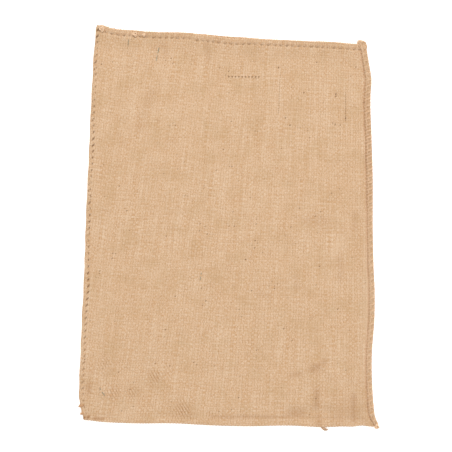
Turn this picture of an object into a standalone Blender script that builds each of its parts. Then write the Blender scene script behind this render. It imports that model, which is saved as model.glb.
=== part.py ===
"""A jute sack lying flat, empty: one length of hessian, folded across the bottom and hemmed at the mouth.

Its two sides are closed by oversewn seams, thick beads of rolled cloth edge and twine. The sack's back
lies on Z = 0. +X runs across the sack and +Y from the bottom fold to the mouth. Sizes are in metres.
"""

import math

import bmesh
import bpy
import numpy as np

# The cloth
CLOTH = 0.0010  # thickness of one layer of hessian
LAYER_GAP = 0.0004  # space between two layers that lie on each other
POCKET_GAP = 0.0013  # usual space between the sack's back and its front
HEM_WIDTH = 0.0055  # how far the mouth's edges are turned in
HEM_SLOPE = 0.016  # length over which the front comes down from the thick hem

# The side seams
STITCH_PITCH = 0.0067  # from one overhand stitch to the next
SEAM_CLEARANCE = 0.0004  # between a seam and the cloth beside it
STITCH_SQUEEZE = 0.10  # share of its girth that a seam loses under a stitch
END_GIRTH = 0.55  # share of its girth that a seam keeps at its very ends

# How finely the cloth is divided
COLUMNS = 26
FRONT_ROWS = 34
ROW_CROWDING = 0.105  # how much closer the rows lie near the fold and the hem
BEND_STEPS = 4

# The outer edges of the two side seams, at distances up from the bottom fold
SIDE_COLUMNS = ("up", "left", "right")
SIDES = (
    (0.000, -0.1470, 0.1603),
    (0.007, -0.1492, 0.1609),
    (0.013, -0.1508, 0.1580),
    (0.020, -0.1524, 0.1569),
    (0.038, -0.1530, 0.1549),
    (0.075, -0.1526, 0.1529),
    (0.120, -0.1520, 0.1546),
    (0.146, -0.1515, 0.1540),
    (0.170, -0.1511, 0.1522),
    (0.210, -0.1510, 0.1502),
    (0.265, -0.1500, 0.1486),
    (0.303, -0.1494, 0.1464),
    (0.353, -0.1484, 0.1440),
    (0.366, -0.1480, 0.1446),
    (0.380, -0.1476, 0.1419),
    (0.392, -0.1472, 0.1396),
    (0.404, -0.1462, 0.1373),
    (0.418, -0.1456, 0.1364),
)

# The bottom fold and the mouth's edge, at distances across from the middle
END_COLUMNS = ("across", "fold", "mouth")
ENDS = (
    (-0.149, 0.0045, 0.4160),
    (-0.142, 0.0010, 0.4159),
    (-0.135, 0.0000, 0.4139),
    (-0.128, -0.0004, 0.4120),
    (-0.114, -0.0007, 0.4112),
    (-0.092, -0.0008, 0.4100),
    (-0.050, 0.0003, 0.4099),
    (-0.032, -0.0002, 0.4093),
    (-0.010, -0.0008, 0.4071),
    (0.024, -0.0006, 0.4057),
    (0.072, 0.0014, 0.4048),
    (0.104, 0.0006, 0.4042),
    (0.124, 0.0020, 0.4033),
    (0.146, 0.0038, 0.4028),
    (0.160, 0.0012, 0.4025),
)

# Where the front stands off the back a little more
PUFF_COLUMNS = ("across", "up", "reach_across", "reach_up", "height")
PUFFS = (
    (-0.075, 0.300, 0.060, 0.085, 0.0007),
    (0.055, 0.335, 0.055, 0.050, 0.0005),
    (0.020, 0.175, 0.085, 0.070, 0.0009),
    (-0.095, 0.085, 0.040, 0.060, 0.0006),
    (0.105, 0.085, 0.030, 0.045, 0.0008),
)

# Creases in the front: soft ridges, or troughs where the height is below zero
CREASE_COLUMNS = ("across_a", "up_a", "across_b", "up_b", "width", "height")
CREASES = (
    (-0.080, 0.0085, 0.143, 0.0105, 0.0045, -0.0005),
    (0.060, 0.0180, 0.108, 0.0140, 0.0085, -0.0007),
    (0.131, 0.0450, 0.134, 0.0100, 0.0070, -0.0007),
    (0.092, 0.0700, 0.112, 0.0560, 0.0060, 0.0006),
    (-0.146, 0.0110, -0.128, 0.0070, 0.0060, -0.0006),
)

# The two side seams. sign is the side, and foot and mouth are the heights where a seam starts and ends, a
# little past the hem, which it is as thick as there
SEAM_COLUMNS = ("name", "sign", "width", "height", "height_at_mouth", "foot", "mouth")
SEAMS = (
    ("left_side_seam", -1, 0.0042, 0.0042, 0.0054, 0.0046, 0.4166),
    ("right_side_seam", 1, 0.0063, 0.0054, 0.0060, 0.0012, 0.4064),
)

# A seam's cross-section, from its inner foot over the top to its outer foot, as shares of width and height
SEAM_SECTION = (
    (0.10, 0.00),
    (0.00, 0.30),
    (0.02, 0.68),
    (0.28, 1.00),
    (0.72, 1.00),
    (0.98, 0.66),
    (1.00, 0.28),
    (0.88, 0.00),
)

HESSIAN = (0.694, 0.462, 0.283)
SEAM_TWINE = (0.730, 0.503, 0.322)
ROUGHNESS = 0.92


def smooth_read(columns, rows, key, column, at):
    """A table's column, read smoothly at any value of its key column."""
    keys = [row[columns.index(key)] for row in rows]
    values = [row[columns.index(column)] for row in rows]
    slopes = np.gradient(values, keys)
    at = min(max(at, keys[0]), keys[-1])
    low = min(int(np.searchsorted(keys, at, side="right")) - 1, len(keys) - 2)
    span = keys[low + 1] - keys[low]
    part = (at - keys[low]) / span
    rest = 1 - part
    return (
        values[low] * rest * rest * (1 + 2 * part)
        + values[low + 1] * part * part * (1 + 2 * rest)
        + slopes[low] * span * part * rest * rest
        - slopes[low + 1] * span * rest * part * part
    )


def side(column, up):
    return smooth_read(SIDE_COLUMNS, SIDES, "up", column, up)


def end(column, across):
    return smooth_read(END_COLUMNS, ENDS, "across", column, across)


def ease(part):
    """0 to 1 with a soft start and a soft end."""
    part = min(max(part, 0.0), 1.0)
    return part * part * (3 - 2 * part)


def relief(across, up):
    """How much the front's puffs and creases lift it."""
    lift = 0.0
    for x, y, reach_x, reach_y, height in PUFFS:
        lift += height * math.exp(-(((across - x) / reach_x) ** 2) - ((up - y) / reach_y) ** 2)
    for x_a, y_a, x_b, y_b, width, height in CREASES:
        run_x, run_y = x_b - x_a, y_b - y_a
        along = ((across - x_a) * run_x + (up - y_a) * run_y) / (run_x**2 + run_y**2)
        along = min(max(along, 0.0), 1.0)
        away = math.hypot(across - x_a - along * run_x, up - y_a - along * run_y)
        lift += height * math.exp(-((away / (0.5 * width)) ** 2))
    return lift


def front_height(across, up, mouth):
    """Height of the middle of the front layer."""
    on_hem = 3.5 * CLOTH + 3 * LAYER_GAP
    in_field = 1.5 * CLOTH + POCKET_GAP + relief(across, up)
    return in_field + (on_hem - in_field) * ease((up - mouth + HEM_WIDTH + HEM_SLOPE) / HEM_SLOPE)


def cloth_edges(up):
    """Where the cloth ends beside the two seams, left and right."""
    widths = {row[0]: row[SEAM_COLUMNS.index("width")] for row in SEAMS}
    left = side("left", up) + widths["left_side_seam"] + SEAM_CLEARANCE
    right = side("right", up) - widths["right_side_seam"] - SEAM_CLEARANCE
    return left, right


def front_shares():
    """How far up the front its rows lie, from 0 at the fold to 1 at the mouth, closest at the two ends."""
    even = np.linspace(0.0, 1.0, FRONT_ROWS + 1)
    return even - ROW_CROWDING * np.sin(2 * math.pi * even)


def strip_rows():
    """The rows of the cloth's length, from the back's raw edge round to the front's: (layer, share or angle)."""
    shares = front_shares()
    turn = np.linspace(90, -90, BEND_STEPS + 1)
    rows = [("back_hem", 1.0)]
    rows += [("back_turn", angle) for angle in turn]
    rows += [("back", share) for share in shares[-2:0:-1]]
    rows += [("fold", angle) for angle in reversed(turn)]
    rows += [("front", share) for share in shares[1:-1]]
    rows += [("front_turn", angle) for angle in turn]
    rows += [("front_hem", 1.0)]
    return rows


def strip_height(row, across):
    """Where one point of the cloth's middle lies above Y = 0 and Z = 0: (up, height)."""
    layer, value = row
    fold, mouth = end("fold", across), end("mouth", across)
    back = 0.5 * CLOTH
    top = front_height(across, mouth, mouth)
    fold_radius = 0.5 * (front_height(across, fold, mouth) - back)
    hem_radius = 0.5 * (CLOTH + LAYER_GAP)
    fold_centre = fold + 0.5 * CLOTH + fold_radius
    hem_centre = mouth - 0.5 * CLOTH - hem_radius
    if layer in ("back", "front"):
        up = fold_centre + (hem_centre - fold_centre) * value
        return up, back if layer == "back" else front_height(across, up, mouth)
    if layer == "back_hem":
        return mouth - HEM_WIDTH, back + 2 * hem_radius
    if layer == "front_hem":
        return mouth - HEM_WIDTH, top - 2 * hem_radius
    out, rise = math.cos(math.radians(value)), math.sin(math.radians(value))
    if layer == "fold":
        return fold_centre - fold_radius * out, back + fold_radius * (1 + rise)
    if layer == "back_turn":
        return hem_centre + hem_radius * out, back + hem_radius * (1 + rise)
    return hem_centre + hem_radius * out, top - hem_radius * (1 - rise)


def strip_point(row, share_across):
    """A point in the middle of the cloth's thickness, found in a few steps because the sides aren't straight."""
    across = 0.0
    for _ in range(4):
        up, height = strip_height(row, across)
        left, right = cloth_edges(up)
        across = left + (right - left) * share_across
    return across, up, height


def make_cloth():
    """The one length of hessian: back, bottom fold and front, with both ends turned in as the mouth's hem."""
    rows = strip_rows()
    shape = bmesh.new()
    bmesh.ops.create_grid(shape, x_segments=COLUMNS, y_segments=len(rows) - 1, size=0.5)
    for vert in shape.verts:
        row = rows[round((vert.co.y + 0.5) * (len(rows) - 1))]
        vert.co = strip_point(row, vert.co.x + 0.5)
    cloth = object_from("sack_cloth", shape, HESSIAN)
    thickness = cloth.modifiers.new("cloth thickness", "SOLIDIFY")
    thickness.thickness = CLOTH
    thickness.offset = 0.0
    thickness.use_even_offset = True
    return cloth


def seam_stations(foot, mouth):
    """Places along a seam, two to a stitch, with closer ones where its ends round off: (up, share of girth)."""
    count = 2 * round((mouth - foot) / STITCH_PITCH)
    step = (mouth - foot) / count
    squeeze = [1.0 - STITCH_SQUEEZE * (index % 2) for index in range(count + 1)]
    stations = [(foot + index * step, squeeze[index]) for index in range(1, count)]
    ends = ((0.0, END_GIRTH), (0.35 * step, 0.5 * (END_GIRTH + 1) + 0.5 * STITCH_SQUEEZE))
    return (
        [(foot + place, girth) for place, girth in ends]
        + stations
        + [(mouth - place, girth) for place, girth in reversed(ends)]
    )


def seam_ring(up, girth, sign, width, height):
    """The corners of a seam's cross-section at one place along it."""
    outer = side("left" if sign < 0 else "right", up)
    inner = outer - sign * width
    trim = 0.5 * width * (1 - girth)
    ring = []
    for share_across, share_up in SEAM_SECTION:
        across = inner + sign * (width - 2 * trim) * share_across + sign * trim
        ring.append((across, up, height * girth * share_up))
    return ring


def make_seam(name, sign, width, height, height_at_mouth, foot, mouth):
    """A side seam: a lumpy bead of rolled cloth edges, oversewn with twine."""
    shape = bmesh.new()
    loops = []
    for up, girth in seam_stations(foot, mouth):
        near_mouth = ease((up - mouth + 4 * STITCH_PITCH) / (3 * STITCH_PITCH))
        tall = height + (height_at_mouth - height) * near_mouth
        made = bmesh.ops.create_circle(shape, segments=len(SEAM_SECTION), radius=1.0)
        for vert, corner in zip(made["verts"], seam_ring(up, girth, sign, width, tall)):
            vert.co = corner
        loops.append(list(dict.fromkeys(edge for vert in made["verts"] for edge in vert.link_edges)))
    for loop, following in zip(loops, loops[1:]):
        bmesh.ops.bridge_loops(shape, edges=loop + following)
    for loop in (loops[0], loops[-1]):
        bmesh.ops.holes_fill(shape, edges=loop, sides=len(SEAM_SECTION))
    bmesh.ops.recalc_face_normals(shape, faces=shape.faces)
    return object_from(name, shape, SEAM_TWINE)


def object_from(name, shape, colour):
    """An object with its own plain material."""
    mesh = bpy.data.meshes.new(name)
    shape.to_mesh(mesh)
    shape.free()
    mesh.shade_smooth()
    material = bpy.data.materials.new(name)
    material.use_nodes = True
    finish = material.node_tree.nodes["Principled BSDF"]
    finish.inputs["Base Color"].default_value = (*colour, 1.0)
    finish.inputs["Roughness"].default_value = ROUGHNESS
    finish.inputs["Metallic"].default_value = 0.0
    mesh.materials.append(material)
    made = bpy.data.objects.new(name, mesh)
    bpy.context.scene.collection.objects.link(made)
    return made


def centre_on_footprint(pieces):
    """Moves every piece so that the middle of the sack's footprint is the origin."""
    bpy.context.view_layer.update()
    graph = bpy.context.evaluated_depsgraph_get()
    corners = [corner[:] for piece in pieces for corner in piece.evaluated_get(graph).bound_box]
    low, high = np.min(corners, axis=0), np.max(corners, axis=0)
    for piece in pieces:
        piece.location = (-(low[0] + high[0]) / 2, -(low[1] + high[1]) / 2, 0.0)


def main():
    for leftover in list(bpy.data.objects):
        bpy.data.objects.remove(leftover)
    pieces = [make_cloth()]
    pieces += [make_seam(*row) for row in SEAMS]
    centre_on_footprint(pieces)


main()
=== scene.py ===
"""The looks of a small jute sack that lies flat and empty, front up.

The sack is one length of hessian, folded across the bottom and hemmed at the mouth. Its sides are closed by
oversewn seams of rolled cloth edge. Sizes are in metres: +X runs across the sack, +Y from the bottom fold to
the mouth, and the back lies on Z = 0.
"""

import functools
import math

import bmesh
import bpy
import numpy as np
from bpy.props import FloatProperty, FloatVectorProperty, IntProperty, PointerProperty
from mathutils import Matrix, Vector
from mathutils.bvhtree import BVHTree


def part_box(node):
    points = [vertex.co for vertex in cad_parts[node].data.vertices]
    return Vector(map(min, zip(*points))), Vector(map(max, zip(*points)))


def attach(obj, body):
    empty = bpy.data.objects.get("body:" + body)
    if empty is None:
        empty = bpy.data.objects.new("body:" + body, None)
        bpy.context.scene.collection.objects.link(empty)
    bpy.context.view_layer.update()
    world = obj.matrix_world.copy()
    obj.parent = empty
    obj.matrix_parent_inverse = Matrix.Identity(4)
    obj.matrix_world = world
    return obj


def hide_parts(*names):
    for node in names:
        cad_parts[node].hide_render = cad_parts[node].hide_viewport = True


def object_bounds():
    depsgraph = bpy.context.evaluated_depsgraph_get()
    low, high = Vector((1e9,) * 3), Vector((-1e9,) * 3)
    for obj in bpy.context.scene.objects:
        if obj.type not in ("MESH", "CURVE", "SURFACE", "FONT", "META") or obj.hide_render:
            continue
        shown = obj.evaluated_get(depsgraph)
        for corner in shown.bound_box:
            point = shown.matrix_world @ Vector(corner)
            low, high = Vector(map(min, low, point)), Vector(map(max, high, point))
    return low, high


bl_info = {
    "name": "Jute Sack",
    "version": (1, 0, 0),
    "blender": (4, 5, 0),
    "location": "3D View > Sidebar > Jute Sack",
    "description": "Makes the woven cloth, the sewing and the loose fibres of a flat jute sack",
    "category": "Add Mesh",
}

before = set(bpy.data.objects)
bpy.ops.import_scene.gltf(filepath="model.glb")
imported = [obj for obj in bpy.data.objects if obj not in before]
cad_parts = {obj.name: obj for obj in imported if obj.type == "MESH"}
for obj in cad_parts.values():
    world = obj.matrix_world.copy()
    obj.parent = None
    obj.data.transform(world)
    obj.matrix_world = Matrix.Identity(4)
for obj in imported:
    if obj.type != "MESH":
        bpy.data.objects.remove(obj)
CAD_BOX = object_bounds()

MM = 0.001
FAR = 1.0  # where rays start, well outside the sack
READ_STEP = 3 * MM  # between the places where the frame's solids are read
EDGE_REACH = (0.036, 0.014)  # how far the sides, and the fold and mouth, run in from their outermost point

# How the cloth lies: places across the sack, and the slopes of the warp yarns there
LEANS = ((-0.150, 0.112), (-0.060, 0.100), (0.050, 0.020), (0.120, -0.020), (0.160, -0.030))

# Yarn slips, as lines or spots of open weave: from x and y to x and y, half width, and how open they are
SLIPS = (
    (0.0443, 0.1912, 0.0441, 0.1209, 0.0007, 0.45),
    (0.1127, 0.1490, 0.1147, 0.1175, 0.0007, 0.50),
    (0.1147, 0.1175, 0.1147, 0.1155, 0.0011, 0.80),
    (0.1034, 0.1425, 0.1034, 0.1400, 0.0009, 0.80),
    (0.1010, 0.1112, 0.1032, 0.1106, 0.0010, 0.90),
    (0.1032, 0.1106, 0.1085, 0.1101, 0.0006, 0.35),
    (0.0506, 0.1160, 0.0506, 0.1150, 0.0009, 0.85),
    (0.0550, 0.1088, 0.0582, 0.1066, 0.0008, 0.80),
    (0.0582, 0.1066, 0.0687, 0.1056, 0.0006, 0.55),
    (0.0483, 0.0832, 0.0500, 0.0830, 0.0007, 0.60),
    (0.0428, 0.1685, 0.0428, 0.1675, 0.0008, 0.75),
    (0.0540, -0.0070, 0.0546, -0.0074, 0.0008, 0.85),
    (0.0138, -0.0333, 0.0146, -0.0336, 0.0008, 0.75),
    (0.0035, -0.1918, 0.0050, -0.1900, 0.0007, 0.60),
    (0.0158, -0.1972, 0.0166, -0.1964, 0.0007, 0.60),
    (-0.0563, 0.0676, -0.0530, 0.0664, 0.0007, 0.55),
    (-0.0198, 0.0781, -0.0170, 0.0771, 0.0007, 0.50),
    (-0.0068, 0.0638, -0.0040, 0.0626, 0.0007, 0.55),
    (-0.0521, 0.0320, -0.0490, 0.0308, 0.0007, 0.55),
    (-0.0040, 0.0100, -0.0010, 0.0088, 0.0007, 0.50),
    (-0.0520, -0.0220, -0.0490, -0.0230, 0.0007, 0.45),
    (-0.1360, -0.1700, -0.1355, -0.1790, 0.0012, 0.35),
)

# A row of needle holes: from x and y to x and y, and from one hole to the next
HOLE_ROW = (-0.0090, 0.1571, 0.0215, 0.1576, 0.0035)

# Soft brown stains, with painted shade in the troughs, in the crease above the fold and in the slit at the
# right seam's foot; pale marks where strength is below zero, the long one beside the right seam being painted
# light: from x and y to x and y, half width, strength
STAINS_AND_SHADE = (
    # Painted shade in the slit at the right seam's foot
    (0.1515, -0.1955, 0.1565, -0.2025, 0.0009, 0.90),
    (-0.1500, -0.2039, -0.1497, -0.2030, 0.0013, 0.80),
    (-0.1459, -0.2034, -0.1457, -0.2022, 0.0012, 0.85),
    (-0.1520, -0.1908, -0.1520, -0.1920, 0.0012, 0.60),
    (-0.1400, -0.2042, -0.1305, -0.2044, 0.0016, 0.42),
    (-0.1470, -0.1700, -0.1455, -0.1765, 0.0030, 0.22),
    # Painted shade in and beside the troughs and the ridge near the bottom right
    (0.0863, -0.1469, 0.0987, -0.1382, 0.0034, 0.22),
    (0.0665, -0.1527, 0.0738, -0.1514, 0.0030, 0.18),
    (0.0922, -0.1688, 0.0926, -0.1846, 0.0032, 0.22),
    (0.0656, -0.1937, 0.0761, -0.1934, 0.0055, 0.24),
    (0.1306, -0.1730, 0.1313, -0.1982, 0.0034, 0.26),
    (0.0951, -0.1961, 0.0953, -0.2034, 0.0030, 0.20),
    (0.1150, -0.1900, 0.1330, -0.1868, 0.0120, 0.10),
    # Painted shade along the crease above the bottom fold
    (-0.0180, -0.1995, 0.0600, -0.1975, 0.0017, 0.22),
    (0.0600, -0.1975, 0.1420, -0.1965, 0.0017, 0.16),
    (-0.0780, 0.1880, -0.0760, 0.1800, 0.0040, 0.14),
    (-0.0323, 0.1902, -0.0310, 0.1740, 0.0034, 0.14),
    (-0.0900, 0.1400, -0.1000, 0.1000, 0.0060, 0.08),
    (0.0780, 0.0100, 0.0940, 0.0080, 0.0070, 0.09),
    (0.1125, -0.0300, 0.1130, -0.0480, 0.0045, 0.11),
    (0.0660, -0.0500, 0.0680, -0.0620, 0.0035, 0.11),
    (0.1270, 0.0180, 0.1270, 0.0020, 0.0035, 0.12),
    (0.0280, -0.0690, 0.0380, -0.0700, 0.0050, 0.08),
    # Painted light beside the right seam, which lifts the shade that the roll casts on the cloth
    (0.1420, 0.0200, 0.1440, -0.1600, 0.0050, -0.34),
    (0.1130, -0.0100, 0.1050, -0.0280, 0.0045, -0.30),
    (-0.1000, -0.1950, -0.1150, -0.2000, 0.0060, -0.15),
)

# Patches where the cloth was dragged askew, which leaves fine slanting lines: x, y, reach, and strength
DRAGS = (
    (-0.0773, -0.1588, 0.0070, 0.75),
    (-0.1209, -0.1769, 0.0075, 0.60),
    (-0.0999, -0.1763, 0.0060, 0.60),
    (-0.0469, -0.1927, 0.0085, 0.90),
    (-0.1291, -0.1466, 0.0085, 0.40),
    (-0.0650, -0.1500, 0.0060, 0.30),
)

# Where the left seam's stitches dip: height above the fold, and how far in from the edge
DASHES = (
    (0.010, 0.0037),
    (0.060, 0.0040),
    (0.110, 0.0043),
    (0.140, 0.0054),
    (0.160, 0.0039),
    (0.185, 0.0030),
    (0.213, 0.0038),
    (0.240, 0.0027),
    (0.262, 0.0032),
    (0.290, 0.0045),
    (0.316, 0.0031),
    (0.345, 0.0030),
    (0.400, 0.0024),
)

# Troughs and ridges in the cloth: from x and y to x and y, half width, and height
WRINKLES = (
    (-0.020, -0.1990, 0.140, -0.1965, 0.0012, -0.00030),
    (0.066, -0.1920, 0.104, -0.1900, 0.0060, -0.00070),
    (0.128, -0.1600, 0.1285, -0.1990, 0.0040, -0.00075),
    (0.088, -0.1385, 0.106, -0.1490, 0.0035, 0.00070),
    (0.100, -0.1480, 0.100, -0.1900, 0.0060, -0.00055),
    (0.074, -0.1750, 0.078, -0.2000, 0.0060, -0.00045),
    (-0.148, -0.2000, -0.125, -0.2030, 0.0035, -0.00060),
    (-0.1400, -0.1600, -0.1380, -0.1900, 0.0060, -0.00040),
    (-0.072, -0.2010, -0.034, -0.2010, 0.0030, -0.00035),
    (-0.060, 0.1900, -0.045, 0.1300, 0.0080, -0.00045),
    (0.005, 0.1850, 0.008, 0.1450, 0.0060, -0.00045),
    (-0.090, 0.1000, -0.060, 0.0300, 0.0110, 0.00040),
    (0.090, 0.0200, 0.100, -0.0800, 0.0120, 0.00040),
)

# Knots in the sewing: x, y, how far across, how far turned in degrees
KNOTS = (
    (-0.1428, 0.2026, 0.0042, 20),
    (-0.1082, 0.1982, 0.0038, 140),
    (-0.0988, 0.1978, 0.0025, 10),
    (0.1560, -0.2042, 0.0042, 60),
)

# Short ends of sewing twine: the points that each follows
TWINE_ENDS = (
    ((-0.1520, -0.1910, 0.0020), (-0.1545, -0.1914, 0.0022), (-0.1564, -0.1921, 0.0018)),
    ((-0.1505, -0.1990, 0.0020), (-0.1528, -0.1994, 0.0022), (-0.1543, -0.2000, 0.0017)),
)

# The lock of fibres that hangs out under the fold: the points that it follows
TUFT = (
    (0.0962, -0.2030, 0.0008),
    (0.0984, -0.2062, 0.0012),
    (0.1018, -0.2092, 0.0011),
    (0.1046, -0.2099, 0.0006),
)

# Stray fibres of coloured yarn on the front: from x and y to x and y
FLECKS = (
    (-0.1147, 0.1930, -0.1152, 0.1860),
    (-0.0827, 0.1856, -0.0840, 0.1790),
    (-0.0842, 0.1780, -0.0854, 0.1708),
    (-0.0320, -0.0483, -0.0322, -0.0510),
    (-0.0324, -0.0525, -0.0328, -0.0567),
    (-0.1351, -0.1720, -0.1335, -0.1740),
    (-0.1325, -0.1758, -0.1292, -0.1802),
)


# --- What a user may change ---


class ClothSizes(bpy.types.PropertyGroup):
    """Sizes of the hessian."""

    end_pitch: FloatProperty(
        name="Warp pitch", description="From one warp yarn to the next", default=0.0028, unit="LENGTH"
    )
    picks: IntProperty(
        name="Picks", description="Weft yarns from the bottom fold to the mouth", default=162, min=20
    )
    inset: FloatProperty(
        name="Inset",
        description="From the cloth's outer face to the middle of its thickness",
        default=0.00035,
        unit="LENGTH",
    )
    warp_relief: FloatProperty(
        name="Warp relief", description="How far the warp yarns stand out", default=0.00018, unit="LENGTH"
    )
    weft_relief: FloatProperty(
        name="Weft relief", description="How far the weft yarns stand out", default=0.00005, unit="LENGTH"
    )
    crossing_relief: FloatProperty(
        name="Crossing relief",
        description="How far the yarn on top stands out where two yarns cross",
        default=0.00004,
        unit="LENGTH",
    )
    hem: FloatProperty(
        name="Hem", description="How far the mouth's edges are turned in", default=0.0060, unit="LENGTH"
    )


class SewingSizes(bpy.types.PropertyGroup):
    """Sizes of the seams and stitches."""

    seam_pitch: FloatProperty(
        name="Seam stitch", description="From one seam stitch to the next", default=0.0067, unit="LENGTH"
    )
    hem_pitch: FloatProperty(
        name="Hem stitch", description="From one hem stitch to the next", default=0.0063, unit="LENGTH"
    )
    twine: FloatProperty(
        name="Twine", description="Thickness of the sewing twine", default=0.0012, unit="LENGTH"
    )
    slant: FloatProperty(
        name="Slant", description="How far a stitch climbs across a seam", default=0.0032, unit="LENGTH"
    )


class Colours(bpy.types.PropertyGroup):
    """Colours of the jute and of what surrounds it."""

    straw: FloatVectorProperty(
        name="Straw", description="Most of the jute", subtype="COLOR", default=(0.640, 0.385, 0.203)
    )
    # Also drawn in for the pale marks, one of which is painted light beside the right seam
    pale: FloatVectorProperty(
        name="Pale", description="The palest yarns", subtype="COLOR", default=(0.800, 0.590, 0.405)
    )
    ochre: FloatVectorProperty(
        name="Ochre", description="Yellower, darker patches", subtype="COLOR", default=(0.58, 0.375, 0.195)
    )
    rust: FloatVectorProperty(
        name="Rust", description="Specks of bark", subtype="COLOR", default=(0.52, 0.235, 0.085)
    )
    # Painted shade between the yarns, in the troughs and the crease and in the slit at the right seam's foot;
    # also the brown of the stains, the drag lines and the right seam's ticks
    shade: FloatVectorProperty(
        name="Shade", description="Between the yarns", subtype="COLOR", default=(0.36, 0.160, 0.058)
    )
    # Painted shade in holes, open slips, the sewing's dents, the right roll's pinches and below the knots
    hole: FloatVectorProperty(
        name="Hole", description="Holes and deep dents", subtype="COLOR", default=(0.21, 0.100, 0.042)
    )
    dye: FloatVectorProperty(
        name="Dye", description="Stray fibres of coloured yarn", subtype="COLOR", default=(0.23, 0.30, 0.25)
    )
    floor: FloatVectorProperty(
        name="Floor", description="The pale floor", subtype="COLOR", default=(0.93, 0.93, 0.93)
    )


class StageSettings(bpy.types.PropertyGroup):
    """The light and the camera."""

    lens: FloatProperty(name="Lens", description="The camera's focal length in millimetres", default=85.0)
    width_seen: FloatProperty(
        name="Width seen", description="Width of what the camera sees", default=0.4723, unit="LENGTH"
    )
    fill: FloatProperty(name="Fill", description="Strength of the light from all round", default=0.77)
    key: FloatProperty(name="Key", description="Strength of the lamp", default=76.0, unit="POWER")


# --- Reading the sack's shape from the frame ---


def solid(node):
    """A node's solid, ready for rays."""
    bm = bmesh.new()
    bm.from_mesh(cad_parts[node].data)
    tree = BVHTree.FromBMesh(bm)
    bm.free()
    return tree


def smooth_over(values, passes, axis=0):
    """Values with each one drawn towards its neighbours along an axis."""
    values = np.moveaxis(np.asarray(values, float), axis, 0)
    for _ in range(passes):
        padded = np.concatenate([values[:1], values, values[-1:]])
        values = (padded[:-2] + 2 * padded[1:-1] + padded[2:]) / 4
    return np.moveaxis(values, 0, axis)


def fill_misses(values):
    """Values with the missing ones read from their neighbours."""
    values = np.asarray(values, float)
    good = np.flatnonzero(~np.isnan(values))
    return np.interp(np.arange(len(values)), good, values[good])


def outline(node, places, axis, sign, height):
    """Where a solid's edge lies along X (axis 0) or Y (axis 1), met from the side that sign gives.

    What lies further in than EDGE_REACH isn't that edge, but the solid's other side past a corner.
    """
    tree = solid(node)
    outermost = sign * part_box(node)[int(sign > 0)][axis]
    way = Vector((0, 0, 0))
    way[axis] = -sign
    found = []
    for place in places:
        start = Vector((place, place, height))
        start[axis] = sign * FAR
        hit = tree.ray_cast(start, way)[0]
        near = hit and outermost - sign * hit[axis] < EDGE_REACH[axis]
        found.append(hit[axis] if near else math.nan)
    return smooth_over(fill_misses(found), 2)


class SackShape:
    """The sack's edges, its front's height and its seams, read from the frame's solids."""

    def __init__(self):
        low, high = CAD_BOX
        self.across = np.arange(low[0], high[0] + READ_STEP, READ_STEP)
        self.up = np.arange(low[1], high[1] + READ_STEP, READ_STEP)
        self.fold_line = outline("sack_cloth", self.across, 1, -1, 1.65 * MM)
        self.front_line = outline("sack_cloth", self.across, 1, 1, 4.0 * MM)
        self.back_line = outline("sack_cloth", self.across, 1, 1, 1.2 * MM)
        self.heights = self.read_heights(solid("sack_cloth"))
        self.left_outer = outline("left_side_seam", self.up, 0, -1, 2.0 * MM)
        self.right_inner = outline("right_side_seam", self.up, 0, -1, 2.2 * MM)
        self.right_outer = outline("right_side_seam", self.up, 0, 1, 2.2 * MM)
        self.left_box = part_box("left_side_seam")
        self.right_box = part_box("right_side_seam")
        self.cloth_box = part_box("sack_cloth")

    def read_heights(self, cloth):
        """The front's height over the whole sack, read from above, away from its rounded edges."""
        margin = 2.2 * MM
        rows = []
        for y in self.up:
            row = []
            for x, fold, mouth in zip(self.across, self.fold_line, self.front_line):
                hit = cloth.ray_cast(Vector((x, y, FAR)), Vector((0, 0, -1)))[0]
                inside = hit and fold + margin < y < mouth - margin
                row.append(hit.z if inside else math.nan)
            rows.append(row)
        rows = np.array(rows)
        kept = ~np.all(np.isnan(rows), axis=1)
        rows[kept] = [fill_misses(row) for row in rows[kept]]
        rows = np.array([fill_misses(column) for column in rows.T]).T
        return smooth_over(smooth_over(rows, 2, 0), 2, 1)

    def fold(self, x):
        return np.interp(x, self.across, self.fold_line) - 1.1 * MM * bump(x - 0.130, 0.008)

    def front_mouth(self, x):
        """The front's mouth edge, which hangs back from the back's a little over its left middle."""
        peek = 1.5 * MM * ease((x + 0.052) / 0.010) * ease((0.016 - x) / 0.024)
        return np.interp(x, self.across, self.front_line) - peek

    def back_mouth(self, x):
        return np.interp(x, self.across, self.back_line) + 1.0 * MM * bump(x - 0.004, 0.024)

    def left_edge(self, y):
        return np.interp(y, self.up, self.left_outer)

    def right_seam(self, y):
        """The right seam's inner and outer edges. It narrows just above the fold, and is wider higher up."""
        change = 3.0 * MM * ease((-0.1940 - y) / 0.012) - 0.7 * MM * ease((y - 0.020) / 0.020)
        return np.interp(y, self.up, self.right_inner) + change, np.interp(y, self.up, self.right_outer)

    def top(self, x, y):
        """Height of the front's outer face."""
        gx = np.clip((x - self.across[0]) / READ_STEP, 0, len(self.across) - 1.001)
        gy = np.clip((y - self.up[0]) / READ_STEP, 0, len(self.up) - 1.001)
        ix = gx.astype(int)
        iy = gy.astype(int)
        fx = gx - ix
        fy = gy - iy
        lower = self.heights[iy, ix] * (1 - fx) + self.heights[iy, ix + 1] * fx
        upper = self.heights[iy + 1, ix] * (1 - fx) + self.heights[iy + 1, ix + 1] * fx
        return lower * (1 - fy) + upper * fy


@functools.cache
def sack_shape():
    """The sack's shape, read once."""
    return SackShape()


def ease(share):
    """0 to 1 with a soft start and a soft end."""
    share = np.clip(share, 0.0, 1.0)
    return share * share * (3 - 2 * share)


def bump(distance, reach):
    """1 at no distance, fading to 0 past reach."""
    return np.exp(-((distance / reach) ** 2))


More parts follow.
